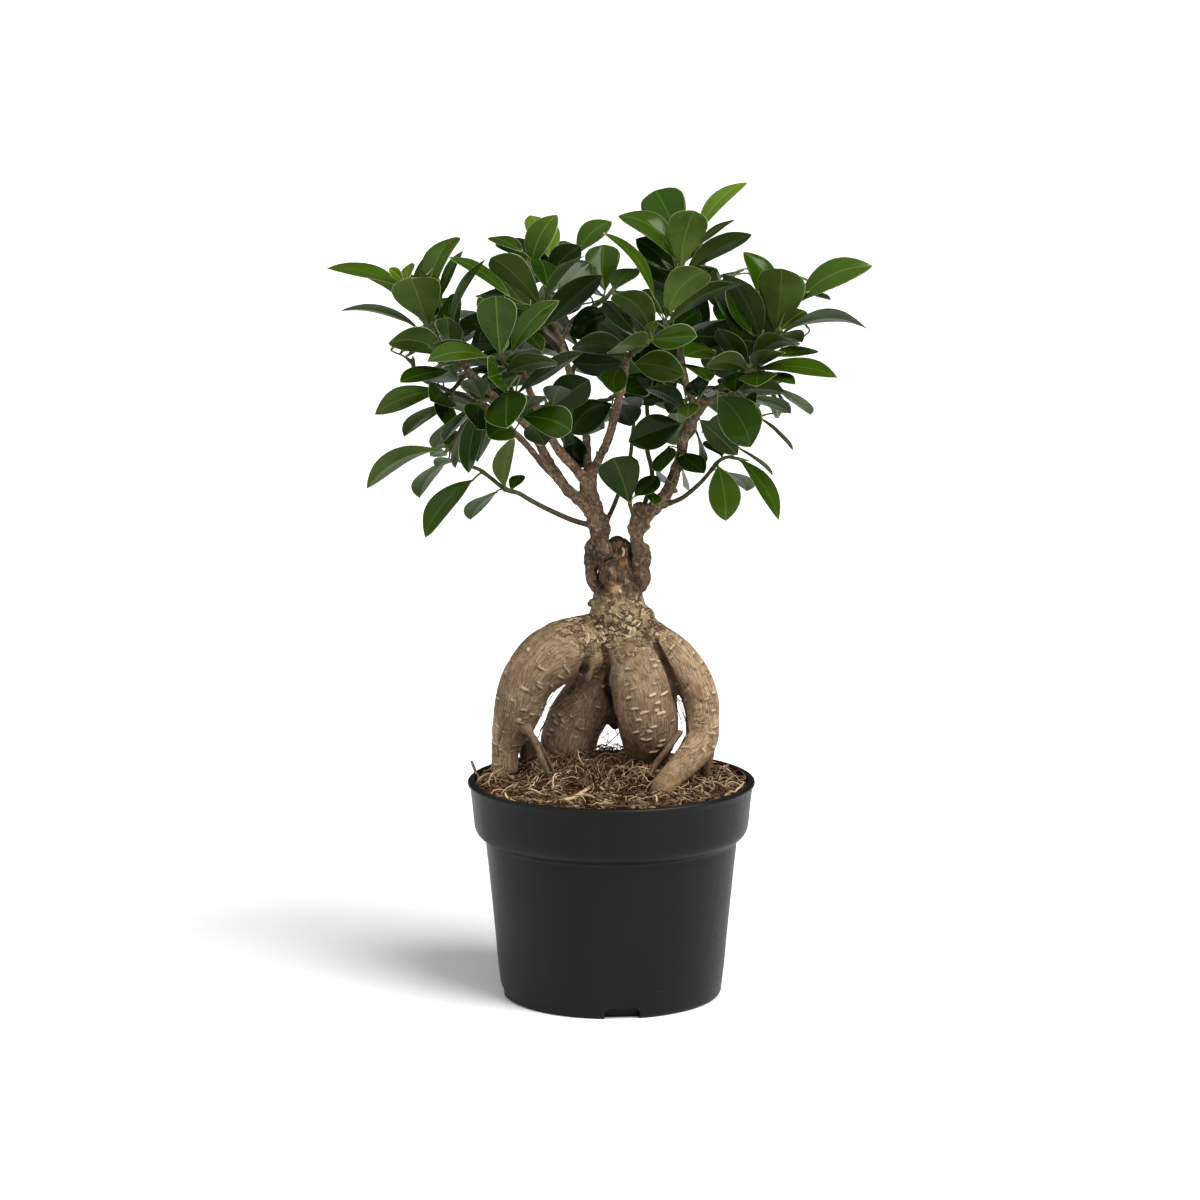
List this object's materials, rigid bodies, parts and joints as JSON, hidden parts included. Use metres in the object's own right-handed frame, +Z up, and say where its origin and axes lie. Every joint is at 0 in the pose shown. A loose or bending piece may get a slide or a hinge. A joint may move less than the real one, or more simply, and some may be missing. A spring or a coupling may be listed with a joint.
{
  "type": "ficus ginseng bonsai in a nursery pot",
  "caption": "Potted ficus bonsai: bulbous, arching exposed roots joined at a grafted neck, two slender scions with a dense leafy crown, in a round soil-filled nursery pot.",
  "frame": {"origin": "on the ground plane, under the centre of the whole plant's outline (the pot's axis is at x = 5.9 mm, y = -17.4 mm)", "axes": "+Z up along the pot's axis, -Y towards the front of the plant, +X to the viewer's right when facing the front"},
  "size_m": [0.279, 0.2518, 0.4251],
  "materials": {
    "pot_plastic": "satin",
    "soil": "matte",
    "root_bark": "matte",
    "scion_bark": "matte",
    "leaf": "gloss"
  },
  "bodies": {
    "root": {"ginseng_rootstock": "root_bark", "left_back_branch": "scion_bark", "left_branch": "scion_bark", "left_shoot_01": "leaf", "left_shoot_02": "leaf", "left_shoot_03": "leaf", "left_shoot_04": "leaf", "left_shoot_05": "leaf", "left_shoot_06": "leaf", "left_shoot_07": "leaf", "left_shoot_08": "leaf", "left_shoot_09": "leaf", "left_shoot_10": "leaf", "left_shoot_11": "leaf", "left_shoot_12": "leaf", "left_shoot_13": "leaf", "left_shoot_14": "leaf", "left_shoot_15": "leaf", "left_shoot_16": "leaf", "left_shoot_17": "leaf", "left_shoot_18": "leaf", "left_shoot_19": "leaf", "left_shoot_20": "leaf", "left_shoot_21": "leaf", "left_shoot_22": "leaf", "left_shoot_23": "leaf", "left_stem": "scion_bark", "mid_back_branch": "scion_bark", "mid_left_branch": "scion_bark", "mid_right_branch": "scion_bark", "nursery_pot": "pot_plastic", "right_back_branch": "scion_bark", "right_branch": "scion_bark", "right_out_branch": "scion_bark", "right_shoot_01": "leaf", "right_shoot_02": "leaf", "right_shoot_03": "leaf", "right_shoot_04": "leaf", "right_shoot_05": "leaf", "right_shoot_06": "leaf", "right_shoot_07": "leaf", "right_shoot_08": "leaf", "right_shoot_09": "leaf", "right_shoot_10": "leaf", "right_shoot_11": "leaf", "right_shoot_12": "leaf", "right_shoot_13": "leaf", "right_shoot_14": "leaf", "right_shoot_15": "leaf", "right_shoot_16": "leaf", "right_shoot_17": "leaf", "right_shoot_18": "leaf", "right_shoot_19": "leaf", "right_stem": "scion_bark", "right_up_branch": "scion_bark", "soil": "soil"}
  },
  "joints": []
}
